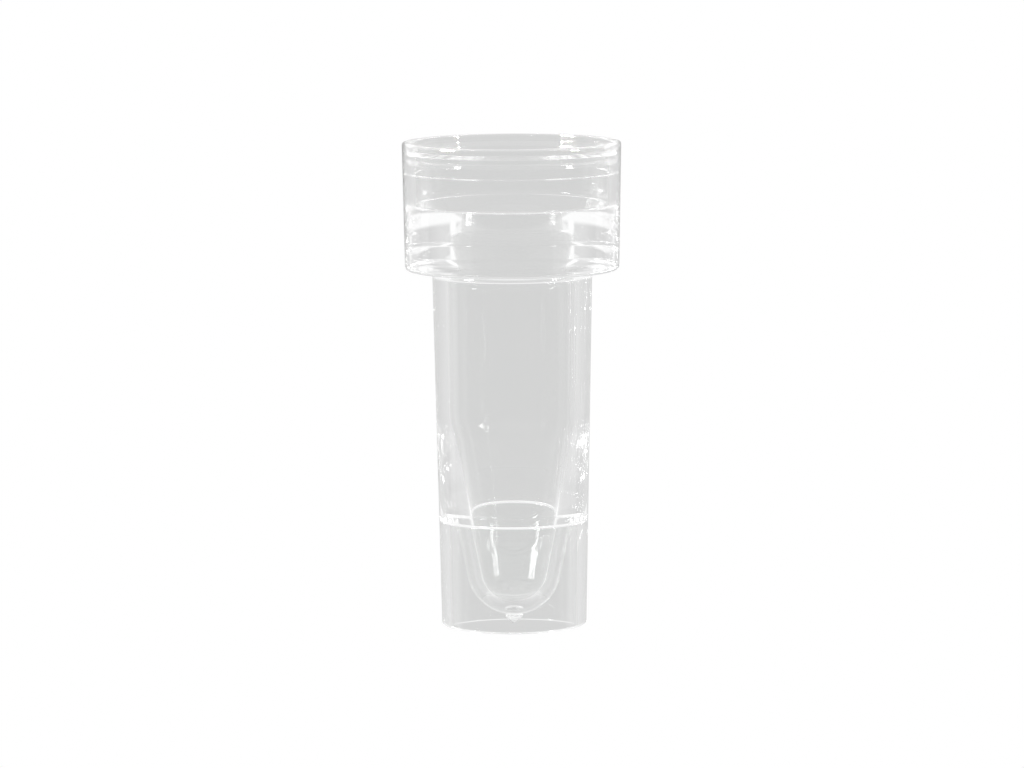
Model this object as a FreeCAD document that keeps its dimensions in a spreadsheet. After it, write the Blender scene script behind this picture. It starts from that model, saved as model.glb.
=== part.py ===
import FreeCAD, Part

import math
import os
import re

import Sketcher

# Sample cup for a laboratory analyser: one clear polystyrene moulding, open at the top.
# A wide collar stands on a slim drafted barrel.  The liquid lies in a bore that narrows to a
# conical well with a round bottom, and a hollow skirt round the well lets the cup stand.
# Each zone of the moulding is a body of its own, turned about the Z axis, and neighbouring
# zones meet face to face on flat joints.  The foot stands on Z = 0.  Units are millimetres.

# Driving dimensions: alias, value, meaning.  Heights are measured up from the foot.
DIMENSIONS = (
    ("total_height", 38.0, "height of the rim's flat top"),
    ("rim_radius", 8.56, "outer radius of the collar at the rim"),
    ("collar_draft", 0.0178, "growth of the collar's outer radius per mm of height"),
    ("collar_bottom", 28.0, "height of the collar's underside"),
    ("foot_radius", 5.69, "outer radius of the barrel at the foot"),
    ("barrel_draft", 0.0205, "growth of the barrel's outer radius per mm of height"),
    ("mouth_radius", 7.75, "inner radius of the rim's lip"),
    ("lip_bottom", 37.45, "height of the lip's lower edge, inside"),
    ("bead_top", 37.10, "height of the cap bead's upper edge"),
    ("bead_bottom", 36.80, "height of the cap bead's lower edge"),
    ("bead_radius", 7.51, "inner radius on the cap bead"),
    ("seat_top", 36.40, "height of the cap seat's upper end"),
    ("seat_radius", 7.63, "inner radius of the recess that a push-in cap seats in"),
    ("seat_bottom", 35.67, "height of the cap seat's lower end"),
    ("step_bottom", 35.55, "height of the small step under the cap seat"),
    ("step_radius", 7.56, "inner radius of the collar at that step"),
    ("ledge_radius", 7.55, "inner radius of the collar at the funnel's ledge"),
    ("ledge_height", 33.06, "height of the ledge's outer end"),
    ("brim_radius", 7.32, "radius where the funnel meets the ledge"),
    ("brim_height", 33.00, "height where the funnel meets the ledge"),
    ("knee_radius", 6.37, "radius where the funnel's steep lower cone meets its flatter upper one"),
    ("knee_height", 31.35, "height of that meeting of the two cones"),
    ("throat_height", 28.27, "height where the funnel leaves the bore"),
    ("bore_draft", 0.006, "growth of the bore's radius per mm of height"),
    ("taper_top", 16.05, "height where the bore turns into the conical well"),
    ("well_slope", 0.205, "growth of the well's inner radius per mm of height"),
    ("well_radius", 2.55, "radius of the well's round bottom, inside"),
    ("well_floor", 2.05, "height of the lowest point of the well, inside"),
    ("shell_slope", 0.20, "growth of the well's outer radius per mm of height"),
    ("shell_radius", 3.65, "radius of the well's round bottom, outside"),
    ("shell_bottom", 1.00, "height of the lowest point of the well, outside"),
    ("skirt_wall", 0.85, "wall thickness of the skirt"),
    ("roof_height", 8.40, "height of the roof of the hollow between skirt and well"),
    ("gate_radius", 0.70, "radius of the gate mark at the well's bottom"),
    ("gate_waist", 0.88, "height where the gate mark starts to narrow"),
    ("gate_tip", 0.35, "height of the gate mark's broken end"),
    ("gate_tip_radius", 0.16, "radius of that broken end"),
    ("bead_joint", 37.30, "height of the joint between rim lip and cap bead"),
    ("seat_joint", 36.50, "height of the joint between cap bead and cap seat"),
    ("collar_joint", 35.20, "height of the joint between cap seat and collar wall"),
    ("shoulder_joint", 33.80, "height of the joint between collar wall and shoulder"),
    ("barrel_joint", 27.20, "height of the joint between shoulder and barrel"),
    ("taper_joint", 17.40, "height of the joint between barrel and taper"),
    ("skirt_joint", 7.60, "height of the joints between taper, skirt and well bottom"),
    ("rim_outer_round", 0.20, "rounding of the rim's outer edge"),
    ("rim_inner_round", 0.12, "rounding of the rim's inner edge"),
    ("bead_round", 0.12, "rounding of the cap bead's two edges"),
    ("ledge_round", 0.25, "fillet between the ledge and the collar's inner wall"),
    ("knee_round", 4.5, "rounding between the funnel's two cones"),
    ("throat_round", 0.50, "rounding between the bore and the funnel"),
    ("collar_round", 0.30, "rounding of the collar's lower outer edge"),
    ("neck_round", 0.65, "fillet between the barrel and the collar's underside"),
    ("taper_round", 10.0, "rounding between the bore and the conical well"),
    ("roof_round", 0.24, "fillets in the two corners of the hollow's roof"),
    ("foot_round", 0.15, "rounding of the foot's two edges"),
)
ALIASES = {alias for alias, value, meaning in DIMENSIONS}

SHEET_NAME = "dims"
PARTS_FOLDER = "parts"
FULL_TURN = 360.0
MATCH = 1e-4  # how closely an edge has to lie on a stated circle, mm
ORIGIN_POINT = (-1, 1)
HORIZONTAL_AXIS = -1
VERTICAL_AXIS = -2
START, END = 1, 2


def collar_outside(height):
    return f"(rim_radius - collar_draft * (total_height - {height}))"


def collar_inside(height):
    """The collar's inner wall leans out a little, from the ledge up to the step."""
    rise = f"({height} - ledge_height) / (step_bottom - ledge_height)"
    return f"(ledge_radius + (step_radius - ledge_radius) * {rise})"


def barrel_outside(height):
    return f"(foot_radius + barrel_draft * {height})"


def skirt_inside(height):
    return f"(foot_radius - skirt_wall + barrel_draft * {height})"


# The well's cone meets its round bottom where the two share a tangent, inside and outside.
WELL_TANGENT_RADIUS = "(well_radius / sqrt(1 + well_slope ^ 2))"
WELL_TANGENT_HEIGHT = f"(well_floor + well_radius - well_slope * {WELL_TANGENT_RADIUS})"
SHELL_TANGENT_RADIUS = "(shell_radius / sqrt(1 + shell_slope ^ 2))"
SHELL_TANGENT_HEIGHT = f"(shell_bottom + shell_radius - shell_slope * {SHELL_TANGENT_RADIUS})"


def well_inside(height):
    return f"({WELL_TANGENT_RADIUS} + well_slope * ({height} - {WELL_TANGENT_HEIGHT}))"


def well_outside(height):
    return f"({SHELL_TANGENT_RADIUS} + shell_slope * ({height} - {SHELL_TANGENT_HEIGHT}))"


def bore_inside(height):
    return f"({well_inside('taper_top')} + bore_draft * ({height} - taper_top))"


# The gate mark leaves the well's round bottom at this height.
GATE_TOP = "(shell_bottom + shell_radius - sqrt(shell_radius ^ 2 - gate_radius ^ 2))"

# The joints above and below the cap bead cut the bead's two slopes at these radii.
LIP_SLOPE_RADIUS = (
    "(bead_radius + (mouth_radius - bead_radius)"
    " * (bead_joint - bead_top) / (lip_bottom - bead_top))"
)
SEAT_SLOPE_RADIUS = (
    "(bead_radius + (seat_radius - bead_radius)"
    " * (bead_bottom - seat_joint) / (bead_bottom - seat_top))"
)

# A zone's outline is a closed chain of corners, each a radius and a height.  A corner with a
# third and fourth entry is reached along an arc of that radius, turning "left" or "right".
OUTLINES = {
    "rim_lip": (
        (collar_outside("bead_joint"), "bead_joint"),
        (collar_outside("total_height"), "total_height"),
        ("mouth_radius", "total_height"),
        ("mouth_radius", "lip_bottom"),
        (LIP_SLOPE_RADIUS, "bead_joint"),
    ),
    "cap_bead": (
        (collar_outside("seat_joint"), "seat_joint"),
        (collar_outside("bead_joint"), "bead_joint"),
        (LIP_SLOPE_RADIUS, "bead_joint"),
        ("bead_radius", "bead_top"),
        ("bead_radius", "bead_bottom"),
        (SEAT_SLOPE_RADIUS, "seat_joint"),
    ),
    "cap_seat": (
        (collar_outside("collar_joint"), "collar_joint"),
        (collar_outside("seat_joint"), "seat_joint"),
        (SEAT_SLOPE_RADIUS, "seat_joint"),
        ("seat_radius", "seat_top"),
        ("seat_radius", "seat_bottom"),
        ("step_radius", "step_bottom"),
        (collar_inside("collar_joint"), "collar_joint"),
    ),
    "collar_wall": (
        (collar_outside("shoulder_joint"), "shoulder_joint"),
        (collar_outside("collar_joint"), "collar_joint"),
        (collar_inside("collar_joint"), "collar_joint"),
        (collar_inside("shoulder_joint"), "shoulder_joint"),
    ),
    "shoulder_ring": (
        (bore_inside("barrel_joint"), "barrel_joint"),
        (barrel_outside("barrel_joint"), "barrel_joint"),
        (barrel_outside("collar_bottom"), "collar_bottom"),
        (collar_outside("collar_bottom"), "collar_bottom"),
        (collar_outside("shoulder_joint"), "shoulder_joint"),
        (collar_inside("shoulder_joint"), "shoulder_joint"),
        ("ledge_radius", "ledge_height"),
        ("brim_radius", "brim_height"),
        ("knee_radius", "knee_height"),
        (bore_inside("throat_height"), "throat_height"),
    ),
    "barrel_wall": (
        (bore_inside("taper_joint"), "taper_joint"),
        (barrel_outside("taper_joint"), "taper_joint"),
        (barrel_outside("barrel_joint"), "barrel_joint"),
        (bore_inside("barrel_joint"), "barrel_joint"),
    ),
    "taper_wall": (
        (well_inside("skirt_joint"), "skirt_joint"),
        (well_outside("skirt_joint"), "skirt_joint"),
        (well_outside("roof_height"), "roof_height"),
        (skirt_inside("roof_height"), "roof_height"),
        (skirt_inside("skirt_joint"), "skirt_joint"),
        (barrel_outside("skirt_joint"), "skirt_joint"),
        (barrel_outside("taper_joint"), "taper_joint"),
        (bore_inside("taper_joint"), "taper_joint"),
        (bore_inside("taper_top"), "taper_top"),
    ),
    "base_skirt": (
        (skirt_inside("0"), "0"),
        (barrel_outside("0"), "0"),
        (barrel_outside("skirt_joint"), "skirt_joint"),
        (skirt_inside("skirt_joint"), "skirt_joint"),
    ),
    "well_bottom": (
        ("0", "shell_bottom"),
        (SHELL_TANGENT_RADIUS, SHELL_TANGENT_HEIGHT, "shell_radius", "left"),
        (well_outside("skirt_joint"), "skirt_joint"),
        (well_inside("skirt_joint"), "skirt_joint"),
        (WELL_TANGENT_RADIUS, WELL_TANGENT_HEIGHT),
        ("0", "well_floor", "well_radius", "right"),
    ),
    "gate_vestige": (
        ("0", "gate_tip"),
        ("gate_tip_radius", "gate_tip"),
        ("gate_radius", "gate_waist"),
        ("gate_radius", GATE_TOP),
        ("0", "shell_bottom", "shell_radius", "right"),
    ),
}

# Edges that are rounded after turning: zone -> (dimension of the rounding, circles it is on).
ROUNDINGS = {
    "rim_lip": (
        ("rim_outer_round", (("rim_radius", "total_height"),)),
        ("rim_inner_round", (("mouth_radius", "total_height"),)),
    ),
    "cap_bead": (
        ("bead_round", (("bead_radius", "bead_top"), ("bead_radius", "bead_bottom"))),
    ),
    "shoulder_ring": (
        ("ledge_round", (("ledge_radius", "ledge_height"),)),
        ("knee_round", (("knee_radius", "knee_height"),)),
        ("throat_round", ((bore_inside("throat_height"), "throat_height"),)),
        ("collar_round", ((collar_outside("collar_bottom"), "collar_bottom"),)),
        ("neck_round", ((barrel_outside("collar_bottom"), "collar_bottom"),)),
    ),
    "taper_wall": (
        ("roof_round", (
            (well_outside("roof_height"), "roof_height"),
            (skirt_inside("roof_height"), "roof_height"),
        )),
        ("taper_round", ((bore_inside("taper_top"), "taper_top"),)),
    ),
    "base_skirt": (
        ("foot_round", ((skirt_inside("0"), "0"), (barrel_outside("0"), "0"))),
    ),
}


def formula(text):
    """Write a formula in aliases as one that reads the sheet."""
    def with_sheet(found):
        word = found.group(0)
        return f"{SHEET_NAME}.{word}" if word in ALIASES else word

    return re.sub(r"[a-z_]+", with_sheet, text)


def make_sheet(document):
    sheet = document.addObject("Spreadsheet::Sheet", SHEET_NAME)
    for row, (alias, value, meaning) in enumerate(DIMENSIONS, start=1):
        sheet.set(f"A{row}", meaning)
        sheet.set(f"B{row}", str(value))
        sheet.setAlias(f"B{row}", alias)
    document.recompute()
    return sheet


def value_of(sheet, text):
    """What a formula comes to, as a plain number."""
    return float(sheet.evalExpression(formula(text)))


def bind(sketch, constraint, text):
    """Add a dimension to a sketch and let a formula drive it."""
    index = sketch.addConstraint(constraint)
    sketch.setExpression(f"Constraints[{index}]", formula(text))


def arc_between(start, finish, radius, turn):
    """The arc of a radius from one point to another that turns left or right on its way."""
    chord = finish - start
    side = FreeCAD.Vector(-chord.y, chord.x, 0).normalize()
    if turn == "right":
        side = -side
    centre = (start + finish) * 0.5 + side * math.sqrt(radius ** 2 - (chord.Length / 2) ** 2)
    first, last = (start, finish) if turn == "left" else (finish, start)
    angles = [math.atan2(point.y - centre.y, point.x - centre.x) for point in (first, last)]
    circle = Part.Circle(centre, FreeCAD.Vector(0, 0, 1), radius)
    return Part.ArcOfCircle(circle, *angles)


def add_edges(sketch, sheet, corners):
    """Draw the chain's edges and join them; return each edge's (start, end) point numbers."""
    points = [FreeCAD.Vector(value_of(sheet, c[0]), value_of(sheet, c[1]), 0) for c in corners]
    ends = []
    for index, start in enumerate(points):
        following = (index + 1) % len(points)
        bend = corners[following][2:]
        if bend:
            radius, turn = bend
            edge = arc_between(start, points[following], value_of(sheet, radius), turn)
            ends.append((START, END) if turn == "left" else (END, START))
        else:
            edge = Part.LineSegment(start, points[following])
            ends.append((START, END))
        sketch.addGeometry(edge, False)
    for index, (start, end) in enumerate(ends):
        following = (index + 1) % len(ends)
        joined = Sketcher.Constraint("Coincident", index, end, following, ends[following][0])
        sketch.addConstraint(joined)
    return ends


def add_dimensions(sketch, sheet, corners, ends):
    """Fix every corner's radius and height and every arc's radius with formulas."""
    for index, corner in enumerate(corners):
        start = ends[index][0]
        for text, kind, axis in (
            (corner[0], "DistanceX", VERTICAL_AXIS),
            (corner[1], "DistanceY", HORIZONTAL_AXIS),
        ):
            if text == "0":
                on_axis = Sketcher.Constraint("PointOnObject", index, start, axis)
                sketch.addConstraint(on_axis)
                continue
            distance = value_of(sheet, text)
            bind(sketch, Sketcher.Constraint(kind, *ORIGIN_POINT, index, start, distance), text)
        if corner[2:]:
            edge = (index - 1) % len(corners)
            radius = Sketcher.Constraint("Radius", edge, value_of(sheet, corner[2]))
            bind(sketch, radius, corner[2])


def origin_plane(body, role):
    return next(f for f in body.Origin.OriginFeatures if getattr(f, "Role", "") == role)


def circle_edges(sheet, shape, circles):
    """Names of the shape's edges that lie on the stated circles about the Z axis."""
    names = []
    for radius_text, height_text in circles:
        radius = value_of(sheet, radius_text)
        height = value_of(sheet, height_text)
        for number, edge in enumerate(shape.Edges, start=1):
            if not isinstance(edge.Curve, Part.Circle):
                continue
            centre = edge.Curve.Center
            aside = math.hypot(centre.x, centre.y)
            if max(abs(edge.Curve.Radius - radius), abs(centre.z - height), aside) < MATCH:
                names.append(f"Edge{number}")
                break
        else:
            raise RuntimeError(f"no edge on the circle {radius_text}, {height_text}")
    return names


def make_zone(document, sheet, name, corners, roundings):
    body = document.addObject("PartDesign::Body", name)
    body.Label = name
    body.Placement = FreeCAD.Placement()
    sketch = body.newObject("Sketcher::SketchObject", name + "_outline")
    sketch.AttachmentSupport = [(origin_plane(body, "XZ_Plane"), "")]
    sketch.MapMode = "FlatFace"
    ends = add_edges(sketch, sheet, corners)
    add_dimensions(sketch, sheet, corners, ends)
    document.recompute()
    if not sketch.FullyConstrained:
        raise RuntimeError(f"the outline of {name} isn't fully constrained")

    turned = body.newObject("PartDesign::Revolution", name + "_turned")
    turned.Profile = sketch
    turned.ReferenceAxis = (sketch, ["V_Axis"])
    turned.Angle = FULL_TURN
    document.recompute()

    for rounding, circles in roundings:
        base = body.Tip
        fillet = body.newObject("PartDesign::Fillet", f"{name}_{rounding}")
        fillet.Base = (base, circle_edges(sheet, base.Shape, circles))
        fillet.setExpression("Radius", formula(rounding))
        document.recompute()
    return body


def check(document, zones):
    for item in document.Objects:
        if {"Invalid", "Error"} & set(item.State):
            raise RuntimeError(f"{item.Label} failed: {item.State}")
    for zone in zones:
        shape = zone.Shape
        if shape.isNull() or not shape.isValid() or len(shape.Solids) != 1:
            raise RuntimeError(f"{zone.Label} isn't one valid solid")


def main():
    document = FreeCAD.newDocument("sample_cup")
    sheet = make_sheet(document)
    zones = [
        make_zone(document, sheet, name, corners, ROUNDINGS.get(name, ()))
        for name, corners in OUTLINES.items()
    ]
    document.recompute()
    check(document, zones)
    os.makedirs(PARTS_FOLDER, exist_ok=True)
    for zone in zones:
        zone.Shape.exportStep(os.path.join(PARTS_FOLDER, zone.Label + ".step"))
        print(f"{zone.Label}: {zone.Shape.Volume:.2f} mm3")
    print(f"whole moulding: {sum(zone.Shape.Volume for zone in zones):.1f} mm3")


main()
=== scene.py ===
import math

import bmesh
import bpy
from mathutils import Matrix, Vector


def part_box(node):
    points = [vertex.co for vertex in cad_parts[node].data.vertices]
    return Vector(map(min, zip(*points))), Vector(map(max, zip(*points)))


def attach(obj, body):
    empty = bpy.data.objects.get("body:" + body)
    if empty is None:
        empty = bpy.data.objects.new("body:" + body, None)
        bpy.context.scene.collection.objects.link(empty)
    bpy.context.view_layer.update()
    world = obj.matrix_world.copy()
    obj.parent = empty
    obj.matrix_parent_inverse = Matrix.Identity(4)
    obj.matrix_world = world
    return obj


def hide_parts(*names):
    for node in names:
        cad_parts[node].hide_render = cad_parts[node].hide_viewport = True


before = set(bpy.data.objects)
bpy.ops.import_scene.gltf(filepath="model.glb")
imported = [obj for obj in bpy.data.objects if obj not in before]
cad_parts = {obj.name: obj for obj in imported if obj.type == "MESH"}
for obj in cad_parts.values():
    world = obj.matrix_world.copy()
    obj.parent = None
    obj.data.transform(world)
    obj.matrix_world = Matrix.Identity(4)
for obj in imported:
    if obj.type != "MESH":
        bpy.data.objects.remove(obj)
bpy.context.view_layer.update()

MM = 0.001

# Zones of the moulding, from the rim down.  One clear shell stands for all of them.
ZONES = (
    "rim_lip", "cap_bead", "cap_seat", "collar_wall", "shoulder_ring",
    "barrel_wall", "taper_wall", "base_skirt", "well_bottom", "gate_vestige",
)
INSIDE, SHELL, HOLLOW, OUTSIDE = 0, 1, 2, -1  # which wall a level line from the axis meets

# Heights of corners between the frame's joints.
LIP_BOTTOM = 37.45 * MM
BEAD_TOP = 37.10 * MM
BEAD_BOTTOM = 36.80 * MM
SEAT_TOP = 36.40 * MM
SEAT_BOTTOM = 35.67 * MM
STEP_BOTTOM = 35.55 * MM
LEDGE_HEIGHT = 33.06 * MM
BRIM_HEIGHT = 33.00 * MM
KNEE_HEIGHT = 31.35 * MM
THROAT_HEIGHT = 28.27 * MM
COLLAR_BOTTOM = 28.00 * MM
ROOF_HEIGHT = 8.40 * MM
GATE_WAIST = 0.88 * MM

# Roundings of the corners.
RIM_OUTER_ROUND = 0.20 * MM
RIM_INNER_ROUND = 0.12 * MM
LIP_ROUND = 0.10 * MM
BEAD_ROUND = 0.12 * MM
STEP_ROUND = 0.03 * MM
LEDGE_ROUND = 0.25 * MM
BRIM_ROUND = 0.01 * MM  # the smallest that still shades as a corner
KNEE_ROUND = 4.5 * MM
THROAT_ROUND = 0.50 * MM
COLLAR_ROUND = 0.30 * MM
NECK_ROUND = 0.65 * MM
TAPER_ROUND = 10.0 * MM
ROOF_ROUND = 0.24 * MM
FOOT_ROUND = 0.15 * MM
GATE_ROUND = 0.08 * MM

SEGMENTS = 288  # round the axis
ARC_STEPS = 8  # in each rounding
CURVE_STEPS = 28  # in the well's round bottom
HAIR = 1e-7  # a height difference too small to matter, m
TINY = 1e-9


# ---------------------------------------------------------------- the frame's outline

def cad_stretches():
    """The CAD's outline as straight stretches, each a lower and an upper (radius, height) point.

    They are the mesh edges that lie in one half-plane through the axis.
    """
    stretches = []
    for node in ZONES:
        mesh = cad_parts[node].data
        for edge in mesh.edges:
            a, b = (mesh.vertices[i].co for i in edge.vertices)
            in_plane = abs(a.x * b.y - a.y * b.x) < 1e-12 and a.x * b.x + a.y * b.y >= 0
            if in_plane and abs(a.z - b.z) > HAIR:
                ends = sorted((point.z, math.hypot(point.x, point.y)) for point in (a, b))
                stretches.append([(radius, height) for height, radius in ends])
    return stretches


STRETCHES = cad_stretches()


def walls(height):
    """Radii at which a level line from the axis crosses the CAD's walls, from inside to outside."""
    radii = sorted(
        r0 + (r1 - r0) * (height - z0) / (z1 - z0)
        for (r0, z0), (r1, z1) in STRETCHES
        if z0 < height < z1
    )
    return [r for r, before in zip(radii, [-1.0] + radii) if r - before > 0.005 * MM]


def zone_height(node, part):
    """The height that lies that part of the way up a zone."""
    low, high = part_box(node)
    return low.z + (high.z - low.z) * part


def wall_line(wall, low, high):
    """A straight wall through two heights, as (radius at height 0, growth per height)."""
    r_low, r_high = walls(low)[wall], walls(high)[wall]
    growth = (r_high - r_low) / (high - low)
    return r_low - growth * low, growth


def radius_on(line, height):
    start, growth = line
    return start + growth * height


def meeting(line, other):
    """The (radius, height) where two walls meet."""
    height = (other[0] - line[0]) / (line[1] - other[1])
    return radius_on(line, height), height


# ---------------------------------------------------------------- the shell's outline

def rounded(corners):
    """A chain of (radius, height, rounding) corners as points, each rounding a tangent arc."""
    points = []
    for index, (radius, height, rounding) in enumerate(corners):
        here = Vector((radius, height))
        if rounding == 0:
            points.append((radius, height))
            continue
        back = (Vector(corners[index - 1][:2]) - here).normalized()
        ahead = (Vector(corners[index + 1][:2]) - here).normalized()
        half = back.angle(ahead) / 2
        centre = here + (back + ahead).normalized() * (rounding / math.sin(half))
        reach = rounding / math.tan(half)
        first = here + back * reach - centre
        last = here + ahead * reach - centre
        start = math.atan2(first.y, first.x)
        turn = math.atan2(last.y, last.x) - start
        turn = (turn + math.pi) % (2 * math.pi) - math.pi
        for step in range(ARC_STEPS + 1):
            angle = start + turn * step / ARC_STEPS
            points.append((centre.x + rounding * math.cos(angle), centre.y + rounding * math.sin(angle)))
    return points


def bowl(line, bottom):
    """Points of the ball that touches a conical wall and the axis, from the axis outwards."""
    growth = line[1]
    radius = radius_on(line, bottom) / (math.hypot(1, growth) - growth)
    sweep = math.pi / 2 - math.atan(growth)
    angles = [sweep * step / CURVE_STEPS for step in range(CURVE_STEPS + 1)]
    return [(radius * math.sin(a), bottom + radius * (1 - math.cos(a)), 0) for a in angles]


def inner_outline():
    """From the well's floor up to the mouth."""
    cone = wall_line(INSIDE, zone_height("taper_wall", 0.05), zone_height("taper_wall", 0.5))
    bore = wall_line(INSIDE, zone_height("barrel_wall", 0.05), zone_height("barrel_wall", 0.95))
    steep = wall_line(INSIDE, THROAT_HEIGHT + 0.6 * MM, KNEE_HEIGHT - 1.0 * MM)
    flat = wall_line(INSIDE, KNEE_HEIGHT + 0.7 * MM, BRIM_HEIGHT - 0.05 * MM)
    collar = wall_line(INSIDE, zone_height("collar_wall", 0.05), zone_height("collar_wall", 0.95))
    floor = min(v.co.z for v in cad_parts["well_bottom"].data.vertices
                if v.co.xy.length < TINY and v.co.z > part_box("well_bottom")[0].z + HAIR)
    lip = walls(zone_height("rim_lip", 0.5))[INSIDE]
    bead = walls((BEAD_TOP + BEAD_BOTTOM) / 2)[INSIDE]
    seat = walls((SEAT_TOP + SEAT_BOTTOM) / 2)[INSIDE]
    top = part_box("rim_lip")[1].z
    return bowl(cone, floor) + [
        (*meeting(cone, bore), TAPER_ROUND),
        (*meeting(steep, bore), THROAT_ROUND),
        (*meeting(steep, flat), KNEE_ROUND),
        (radius_on(flat, BRIM_HEIGHT), BRIM_HEIGHT, BRIM_ROUND),
        (radius_on(collar, LEDGE_HEIGHT), LEDGE_HEIGHT, LEDGE_ROUND),
        (radius_on(collar, STEP_BOTTOM), STEP_BOTTOM, STEP_ROUND),
        (seat, SEAT_BOTTOM, STEP_ROUND),
        (seat, SEAT_TOP, BEAD_ROUND),
        (bead, BEAD_BOTTOM, BEAD_ROUND),
        (bead, BEAD_TOP, BEAD_ROUND),
        (lip, LIP_BOTTOM, LIP_ROUND),
        (lip, top, RIM_INNER_ROUND),
    ]


def outer_outline():
    """From the rim's outer edge down to the foot."""
    collar = wall_line(OUTSIDE, zone_height("collar_wall", 0.05), zone_height("collar_wall", 0.95))
    barrel = wall_line(OUTSIDE, zone_height("barrel_wall", 0.05), zone_height("barrel_wall", 0.95))
    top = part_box("rim_lip")[1].z
    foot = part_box("base_skirt")[0].z
    return [
        (radius_on(collar, top), top, RIM_OUTER_ROUND),
        (radius_on(collar, COLLAR_BOTTOM), COLLAR_BOTTOM, COLLAR_ROUND),
        (radius_on(barrel, COLLAR_BOTTOM), COLLAR_BOTTOM, NECK_ROUND),
        (radius_on(barrel, foot), foot, FOOT_ROUND),
    ]


def under_outline():
    """From the foot up into the hollow, over its roof, and down round the well to the gate mark."""
    low, high = zone_height("base_skirt", 0.2), zone_height("base_skirt", 0.8)
    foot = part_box("base_skirt")[0].z
    hollow = wall_line(HOLLOW, zone_height("well_bottom", 0.7), high)
    shell = wall_line(SHELL, zone_height("well_bottom", 0.7), zone_height("well_bottom", 0.95))
    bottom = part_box("well_bottom")[0].z
    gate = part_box("gate_vestige")
    gate_radius = gate[1].x
    tip_radius = max(v.co.xy.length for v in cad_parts["gate_vestige"].data.vertices
                     if v.co.z < gate[0].z + HAIR)
    ball = [point for point in reversed(bowl(shell, bottom)) if point[0] > gate_radius + GATE_ROUND]
    return [
        (radius_on(hollow, foot), foot, FOOT_ROUND),
        (radius_on(hollow, ROOF_HEIGHT), ROOF_HEIGHT, ROOF_ROUND),
        (radius_on(shell, ROOF_HEIGHT), ROOF_HEIGHT, ROOF_ROUND),
        *ball,
        (gate_radius, gate[1].z, 0),
        (gate_radius, GATE_WAIST, GATE_ROUND),
        (tip_radius, gate[0].z, 0),
        (0.0, gate[0].z, 0),
    ]


def turned_shell(name, outline):
    """A closed skin made by turning an outline that starts and ends on the axis."""
    shape = bmesh.new()
    rings = []
    for radius, height in outline:
        if radius < TINY:
            rings.append([shape.verts.new((0, 0, height))])
            continue
        angles = [2 * math.pi * k / SEGMENTS for k in range(SEGMENTS)]
        rings.append([shape.verts.new((radius * math.cos(a), radius * math.sin(a), height)) for a in angles])
    for lower, upper in zip(rings, rings[1:]):
        for k in range(SEGMENTS):
            after = (k + 1) % SEGMENTS
            if len(lower) == 1:
                shape.faces.new((lower[0], upper[after], upper[k]))
            elif len(upper) == 1:
                shape.faces.new((lower[k], lower[after], upper[0]))
            else:
                shape.faces.new((lower[k], lower[after], upper[after], upper[k]))
    bmesh.ops.recalc_face_normals(shape, faces=shape.faces)
    for face in shape.faces:
        face.smooth = True
    mesh = bpy.data.meshes.new(name)
    shape.to_mesh(mesh)
    shape.free()
    piece = bpy.data.objects.new(name, mesh)
    bpy.context.scene.collection.objects.link(piece)
    return piece


# ---------------------------------------------------------------- shading

class Shader:
    """Adds nodes to a material's or a world's empty node tree."""

    def __init__(self, owner):
        owner.use_nodes = True
        self.nodes, self.links = owner.node_tree.nodes, owner.node_tree.links
        self.nodes.clear()

    def add(self, kind, **values):
        """A new node; a value is a number, a colour or another node's output."""
        node = self.nodes.new("ShaderNode" + kind)
        for name, value in values.items():
            socket = node.inputs[name.replace("_", " ")]
            if isinstance(value, bpy.types.NodeSocket):
                self.links.new(value, socket)
            else:
                socket.default_value = value
        return node

    def math(self, operation, *values):
        node = self.nodes.new("ShaderNodeMath")
        node.operation = operation
        for socket, value in zip(node.inputs, values):
            if isinstance(value, bpy.types.NodeSocket):
                self.links.new(value, socket)
            else:
                socket.default_value = value
        return node.outputs[0]

    def ease(self, value, start, end, low=0.0, high=1.0):
        """Go smoothly from low to high while the value goes from start to end."""
        node = self.nodes.new("ShaderNodeMapRange")
        node.interpolation_type = "SMOOTHSTEP"
        self.links.new(value, node.inputs["Value"])
        for socket, number in zip(("From Min", "From Max", "To Min", "To Max"), (start, end, low, high)):
            node.inputs[socket].default_value = number
        return node.outputs["Result"]

    def mixed(self, factor, first, second):
        node = self.nodes.new("ShaderNodeMixShader")
        for socket, value in zip(node.inputs, (factor, first, second)):
            self.links.new(value, socket)
        return node.outputs[0]


IOR = 1.59  # of polystyrene
TINT_LOW = (0.958, 0.963, 0.960, 1)
TINT_HIGH = (0.972, 0.973, 0.972, 1)
FLOW_DEPTH = 0.0012 * MM  # unevenness of the moulded walls
DRAG_DEPTH = 0.010 * MM
SPECK_HEIGHT = 0.010 * MM
TORN_HEIGHT = 0.05 * MM  # on the gate mark's broken end
SPECK_ROUGHNESS = 0.35
GATE_ROUGHNESS = 0.25
DRAG_LINES = 2600  # noise cells per metre round the bore, for the drag lines
DRAG_RUN = 60.0  # and per metre along it
DRAG_RADIUS = 5.1 * MM  # radius at which they are laid out
DRAG_AZIMUTH = -0.50  # the middle of the side where they are most, radians from the X axis
BORE_LIMIT = 5.6 * MM  # nearer the axis than this, above the hollow's roof, is the inside wall
GATE_LIMIT = 0.95 * MM  # nearer the axis than this, below the shell's bottom, is the gate mark


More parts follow.
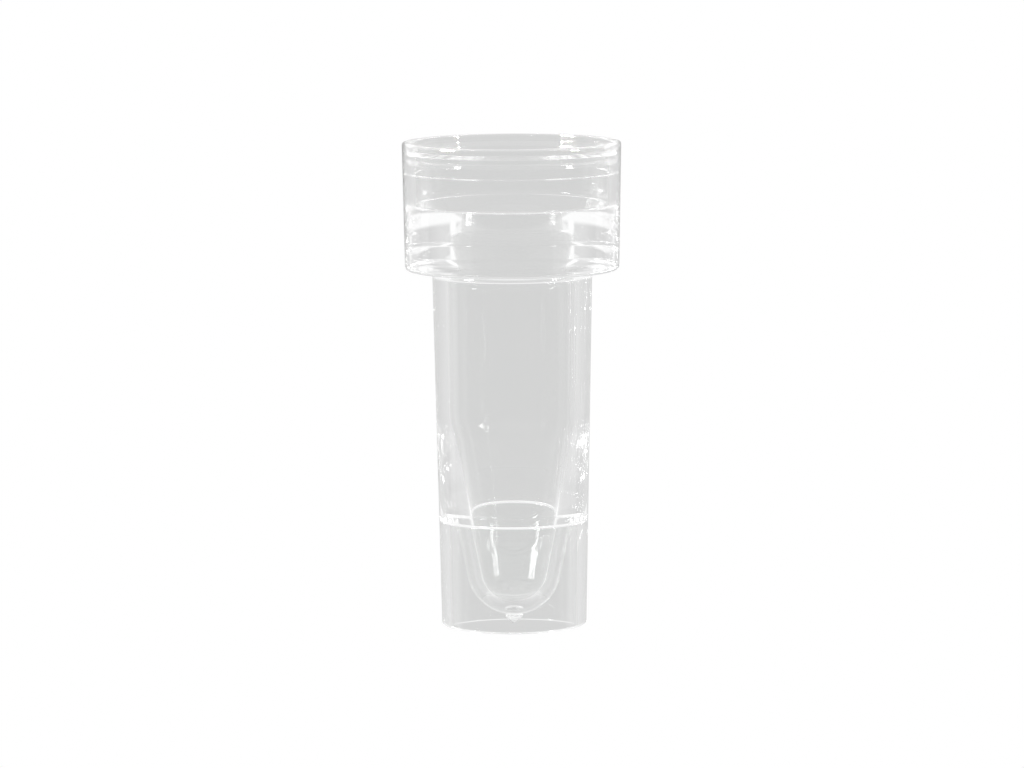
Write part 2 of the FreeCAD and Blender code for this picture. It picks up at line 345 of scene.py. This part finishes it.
def clear_polystyrene():
    """Clear, hard and glossy, with the marks of the mould and a little handling."""
    material = bpy.data.materials.new("clear_polystyrene")
    shader = Shader(material)
    place = shader.add("TexCoord").outputs["Object"]
    axes = shader.add("SeparateXYZ", Vector=place).outputs
    aside = shader.math("SQRT", shader.math("ADD", shader.math("POWER", axes["X"], 2.0),
                                            shader.math("POWER", axes["Y"], 2.0)))
    turn = shader.math("ARCTAN2", axes["Y"], axes["X"])

    # Fine lines that the core left in the bore's wall as it was drawn out, most on one side.
    along = shader.add("CombineXYZ", X=shader.math("MULTIPLY", turn, DRAG_RADIUS * DRAG_LINES),
                       Y=shader.math("MULTIPLY", axes["Z"], DRAG_RUN))
    drag = shader.add("TexNoise", Vector=along.outputs[0], Scale=1.0, Detail=2.0).outputs["Fac"]
    lines = shader.ease(drag, 0.52, 0.72)
    inside = shader.math("MULTIPLY", shader.ease(aside, BORE_LIMIT, BORE_LIMIT - 0.2 * MM),
                         shader.ease(axes["Z"], ROOF_HEIGHT + 1.5 * MM, ROOF_HEIGHT + 4 * MM))
    inside = shader.math("MULTIPLY", inside, shader.ease(axes["Z"], THROAT_HEIGHT, THROAT_HEIGHT - 1 * MM))
    facing = shader.math("ABSOLUTE", shader.math("SUBTRACT", turn, DRAG_AZIMUTH))
    side = shader.ease(facing, 0.80, 0.30, 0.06, 1.0)
    lines = shader.math("MULTIPLY", shader.math("MULTIPLY", lines, inside), side)

    # A slow unevenness of the moulded walls, and specks of dust and handling.
    flow = shader.add("TexNoise", Vector=place, Scale=420.0, Detail=1.0).outputs["Fac"]
    specks = shader.add("TexVoronoi", Vector=place, Scale=900.0, Randomness=1.0).outputs["Distance"]
    specks = shader.ease(specks, 0.10, 0.04)
    dusty = shader.add("TexNoise", Vector=place, Scale=260.0, Detail=3.0).outputs["Fac"]
    specks = shader.math("MULTIPLY", specks, shader.ease(dusty, 0.60, 0.68))

    # The gate mark is broken off, so it is rough.
    gate = shader.math("MULTIPLY", shader.ease(aside, GATE_LIMIT, GATE_LIMIT - 0.1 * MM),
                       shader.ease(axes["Z"], 1.02 * MM, 0.95 * MM))
    torn = shader.add("TexNoise", Vector=place, Scale=5200.0, Detail=4.0).outputs["Fac"]

    height = shader.math("MULTIPLY", flow, FLOW_DEPTH)
    height = shader.math("MULTIPLY_ADD", lines, -DRAG_DEPTH, height)
    height = shader.math("MULTIPLY_ADD", specks, SPECK_HEIGHT, height)
    height = shader.math("MULTIPLY_ADD", shader.math("MULTIPLY", torn, gate), TORN_HEIGHT, height)
    relief = shader.add("Bump", Height=height, Strength=1.0, Distance=1.0).outputs["Normal"]

    rough = shader.math("MULTIPLY", specks, SPECK_ROUGHNESS)
    rough = shader.math("MULTIPLY_ADD", gate, GATE_ROUGHNESS, rough)

    # The resin's faint tint is a little uneven.
    tint = shader.nodes.new("ShaderNodeMix")
    tint.data_type = "RGBA"
    shader.links.new(flow, tint.inputs["Factor"])
    tint.inputs["A"].default_value = TINT_LOW
    tint.inputs["B"].default_value = TINT_HIGH

    plastic = shader.add("BsdfPrincipled", Base_Color=tint.outputs["Result"], Roughness=rough,
                         Normal=relief, IOR=IOR)
    plastic.inputs["Transmission Weight"].default_value = 1.0
    shader.links.new(plastic.outputs[0], shader.add("OutputMaterial").inputs["Surface"])
    return material


# ---------------------------------------------------------------- the cup

def make_cup():
    outline = rounded(inner_outline() + outer_outline() + under_outline())
    cup = turned_shell("sample_cup", outline)
    cup.data.materials.append(clear_polystyrene())
    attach(cup, "root")
    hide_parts(*ZONES)
    return cup


# ---------------------------------------------------------------- stage, light and camera

# Azimuths of the surroundings count from straight behind the cup, the same to both sides.
GREY = 0.68  # the low surroundings behind the cup, which most of the plastic shows
GREY_ASIDE = 0.77  # the low surroundings to the left and the right
GREY_TURN = (10, 50)  # azimuth over which the one turns into the other, degrees
SKY = 1.05  # the surroundings overhead
SIDES = 1.12  # a bright upright strip at each side
SPILL = 0.95  # the bright table to the left and the right
SKY_RISE = (9, 15)  # elevation over which the grey turns into the sky, degrees
SIDE_FROM, SIDE_TO = (64, 70), (76, 82)  # azimuths over which a strip starts and ends, degrees
SPILL_DEPTH = (30, 38)  # degrees below level where the bright table starts
SPILL_SIDE = (40, 60)  # and its azimuth


def sine(degrees):
    return math.sin(math.radians(degrees))


def make_stage():
    """A plain white floor; light that passes through the cup meets the surroundings instead."""
    bpy.ops.mesh.primitive_circle_add(vertices=96, radius=1.5, fill_type="NGON", location=(0, 0, 0))
    floor = bpy.context.object
    floor.name = "floor"
    material = bpy.data.materials.new("floor")
    shader = Shader(material)
    white = shader.add("Emission", Color=(1, 1, 1, 1))
    clear = shader.add("BsdfTransparent")
    seen = shader.add("LightPath").outputs["Is Camera Ray"]
    surface = shader.mixed(seen, clear.outputs[0], white.outputs[0])
    shader.links.new(surface, shader.add("OutputMaterial").inputs["Surface"])
    floor.data.materials.append(material)


def make_surroundings():
    """Grey, lighter to the sides, with white overhead and a bright strip at each side.

    Only light that has met the cup sees this; straight from the camera it is plain white.
    """
    world = bpy.data.worlds.new("surroundings")
    bpy.context.scene.world = world
    shader = Shader(world)
    direction = shader.add("SeparateXYZ", Vector=shader.add("TexCoord").outputs["Generated"]).outputs
    aside = shader.math("ABSOLUTE", direction["X"])
    turn = shader.math("MULTIPLY", shader.math("ARCTAN2", aside, direction["Y"]), 180 / math.pi)
    sky = shader.ease(direction["Z"], sine(SKY_RISE[0]), sine(SKY_RISE[1]))
    below = shader.math("SUBTRACT", 1.0, sky)
    side = shader.math("MULTIPLY", shader.ease(turn, *SIDE_FROM), shader.ease(turn, *SIDE_TO, 1.0, 0.0))
    side = shader.math("MULTIPLY", side, below)
    spill = shader.ease(direction["Z"], -sine(SPILL_DEPTH[0]), -sine(SPILL_DEPTH[1]))
    spill = shader.math("MULTIPLY", spill, shader.ease(turn, *SPILL_SIDE))
    grey = shader.ease(turn, *GREY_TURN, GREY, GREY_ASIDE)
    level = shader.math("MULTIPLY_ADD", sky, shader.math("SUBTRACT", SKY, grey), grey)
    level = shader.math("MULTIPLY_ADD", side, shader.math("SUBTRACT", SIDES, grey), level)
    lit = shader.math("MULTIPLY_ADD", spill, shader.math("SUBTRACT", SPILL, grey), grey)
    around = shader.add("Background", Color=shader.math("MAXIMUM", level, lit))
    behind = shader.add("Background", Color=(1, 1, 1, 1))
    seen = shader.add("LightPath").outputs["Is Camera Ray"]
    surface = shader.mixed(seen, around.outputs[0], behind.outputs[0])
    shader.links.new(surface, shader.add("OutputWorld").inputs["Surface"])


SOFTBOX_AIM = 20 * MM  # the height that the softboxes face


def softbox(name, azimuth, elevation, distance, width, height, power):
    """An area light that faces the cup; azimuth 0 is the camera's side and 90 the right."""
    light = bpy.data.lights.new(name, "AREA")
    light.shape = "RECTANGLE"
    light.size = width
    light.size_y = height
    light.energy = power
    box = bpy.data.objects.new(name, light)
    bpy.context.scene.collection.objects.link(box)
    around, up = math.radians(azimuth), math.radians(elevation)
    away = Vector((math.sin(around) * math.cos(up), -math.cos(around) * math.cos(up), math.sin(up)))
    box.location = Vector((0, 0, SOFTBOX_AIM)) + away * distance
    box.rotation_euler = away.to_track_quat("Z", "Y").to_euler()
    return box


def make_lights():
    softbox("left_softbox", -75, 15, 0.4, 0.07, 0.07, 9.0)
    softbox("right_softbox", 70, 15, 0.4, 0.07, 0.07, 6.0)
    softbox("upper_softbox", -72, 24, 0.4, 0.11, 0.10, 16.0)


CAMERA_DISTANCE = 379.1 * MM  # level, from the cup's axis
CAMERA_HEIGHT = 66.65 * MM
CAMERA_PITCH, CAMERA_ROLL = 0.1252, -0.0061  # downwards, and anticlockwise as the camera sees, radians
CAMERA_LENS = 171.2  # on a 36 wide sensor
CAMERA_SHIFT = -0.0009


def make_camera():
    data = bpy.data.cameras.new("camera")
    data.sensor_width = 36
    data.lens = CAMERA_LENS
    data.clip_start = 0.01
    data.shift_x = CAMERA_SHIFT
    camera = bpy.data.objects.new("camera", data)
    bpy.context.scene.collection.objects.link(camera)
    ahead = Vector((0, math.cos(CAMERA_PITCH), -math.sin(CAMERA_PITCH)))
    level, upright = Vector((1, 0, 0)), Vector((0, math.sin(CAMERA_PITCH), math.cos(CAMERA_PITCH)))
    right = level * math.cos(CAMERA_ROLL) + upright * math.sin(CAMERA_ROLL)
    up = upright * math.cos(CAMERA_ROLL) - level * math.sin(CAMERA_ROLL)
    turn = Matrix((right, up, -ahead)).transposed().to_4x4()
    turn.translation = Vector((0, -CAMERA_DISTANCE, CAMERA_HEIGHT))
    camera.matrix_world = turn
    bpy.context.scene.camera = camera


def set_rendering():
    scene = bpy.context.scene
    scene.view_settings.view_transform = "Standard"
    scene.cycles.max_bounces = 64
    scene.cycles.transmission_bounces = 64
    scene.cycles.glossy_bounces = 64
    scene.cycles.use_denoising = True


make_camera()
make_cup()
make_stage()
make_surroundings()
make_lights()
set_rendering()
